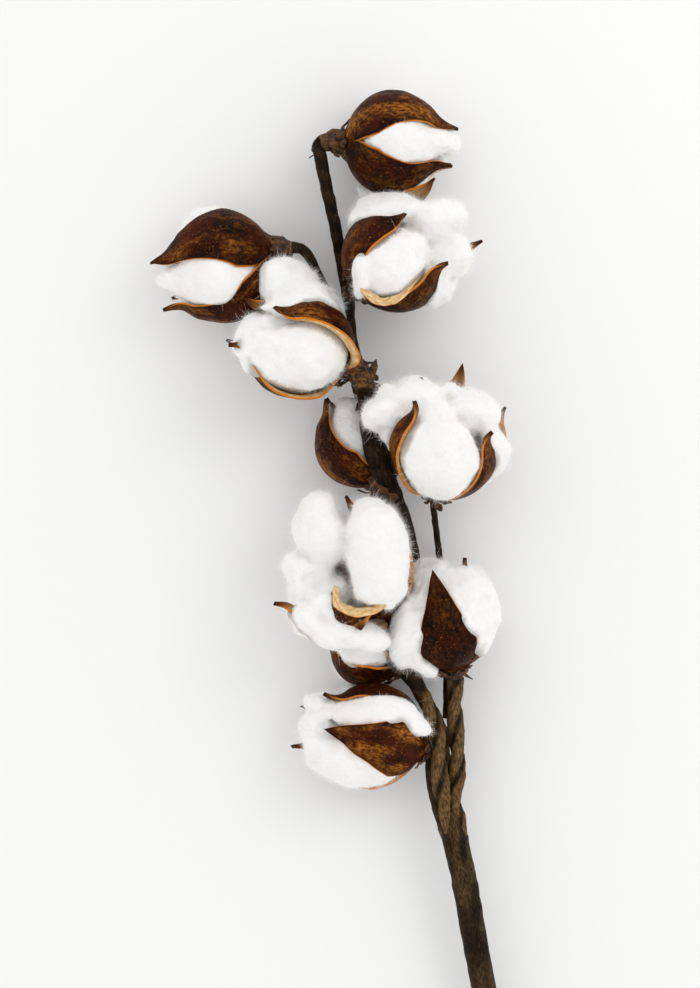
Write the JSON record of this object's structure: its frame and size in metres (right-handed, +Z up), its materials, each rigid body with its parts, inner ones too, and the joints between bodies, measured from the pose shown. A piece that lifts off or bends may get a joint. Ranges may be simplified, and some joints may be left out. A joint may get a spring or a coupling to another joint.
{
  "type": "cotton stem bunch",
  "caption": "Dried cotton stem bunch lying down: open bolls with woody burs and white lint on brown taped stems that join into one taped trunk.",
  "frame": {"origin": "middle of the bounding box's footprint, on the surface that the bunch lies on", "axes": "+Y along the bunch from its cut end to its boll end, +Z up from the surface it lies on, +X to the right seen from above"},
  "size_m": [0.175, 0.5394, 0.0792],
  "materials": {
    "bur": "dried woody husk, satin outside, pale inside",
    "lint": "loose cotton fibre, matte",
    "tape": "waxed crepe floral tape, dull",
    "wire": "coated florist's wire"
  },
  "bodies": {
    "root": {"bur_a": "bur", "lint_a_1": "lint", "lint_a_2": "lint", "lint_a_3": "lint", "lint_a_4": "lint", "bur_b": "bur", "lint_b_1": "lint", "lint_b_2": "lint", "lint_b_3": "lint", "lint_b_4": "lint", "bur_c": "bur", "lint_c_1": "lint", "lint_c_2": "lint", "lint_c_3": "lint", "lint_c_4": "lint", "bur_d": "bur", "lint_d_1": "lint", "lint_d_2": "lint", "lint_d_3": "lint", "lint_d_4": "lint", "bur_e": "bur", "lint_e_1": "lint", "lint_e_2": "lint", "lint_e_3": "lint", "lint_e_4": "lint", "lint_e_5": "lint", "bur_f": "bur", "lint_f_1": "lint", "lint_f_2": "lint", "lint_f_3": "lint", "lint_f_4": "lint", "bur_g": "bur", "lint_g_1": "lint", "lint_g_2": "lint", "lint_g_3": "lint", "lint_g_4": "lint", "bur_h": "bur", "lint_h_1": "lint", "lint_h_2": "lint", "lint_h_3": "lint", "lint_h_4": "lint", "bur_i": "bur", "lint_i_1": "lint", "lint_i_2": "lint", "lint_i_3": "lint", "lint_i_4": "lint", "bur_j": "bur", "lint_j_1": "lint", "lint_j_2": "lint", "lint_j_3": "lint", "lint_j_4": "lint", "stem_main": "tape", "stem_right": "tape", "stem_upper_right": "tape", "stem_left": "tape", "stem_lower_left": "tape", "twig": "tape", "trunk_wrap": "tape", "wire_one": "wire", "wire_two": "wire"}
  },
  "joints": []
}
